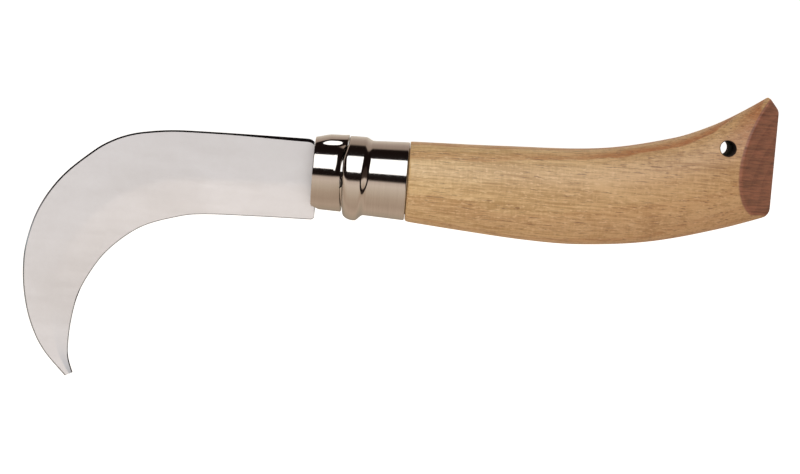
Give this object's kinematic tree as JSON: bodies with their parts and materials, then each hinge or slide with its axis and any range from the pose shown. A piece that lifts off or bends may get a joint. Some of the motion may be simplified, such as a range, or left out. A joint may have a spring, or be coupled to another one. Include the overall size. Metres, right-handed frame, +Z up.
{
  "type": "hand sickle",
  "caption": "Folding hand sickle with a hooked steel blade, a steel ferrule with a turning lock ring, and a curved beech handle with a lanyard hole.",
  "frame": {"origin": "middle of the bounding box, at its lowest point: the bead of the ferrule", "axes": "the tool lies on its side: +X along the collar towards the handle's tail, +Y towards the blade's spine, +Z up, out of the blade's flat side"},
  "size_m": [0.2058, 0.0934, 0.0234],
  "materials": {
    "beech": "varnished",
    "blade_steel": "satin",
    "ferrule_steel": "polished",
    "ring_steel": "polished",
    "pin_steel": "turned"
  },
  "bodies": {
    "grip": {"handle": "beech", "ferrule": "ferrule_steel", "pivot_pin": "pin_steel"},
    "blade": {"blade": "blade_steel"},
    "ring": {"lock_ring": "ring_steel"}
  },
  "joints": [
    {"name": "blade_fold", "type": "hinge", "parent": "grip", "child": "blade", "pos_m": [-0.01756, 0.01379, 0.0117], "axis": [0, 0, 1], "range_deg": [0, 148.5]},
    {"name": "ring_turn", "type": "hinge", "parent": "grip", "child": "ring", "pos_m": [-0.02, 0.01528, 0.0117], "axis": [-1, 0, 0], "range_deg": [0, 32]}
  ]
}
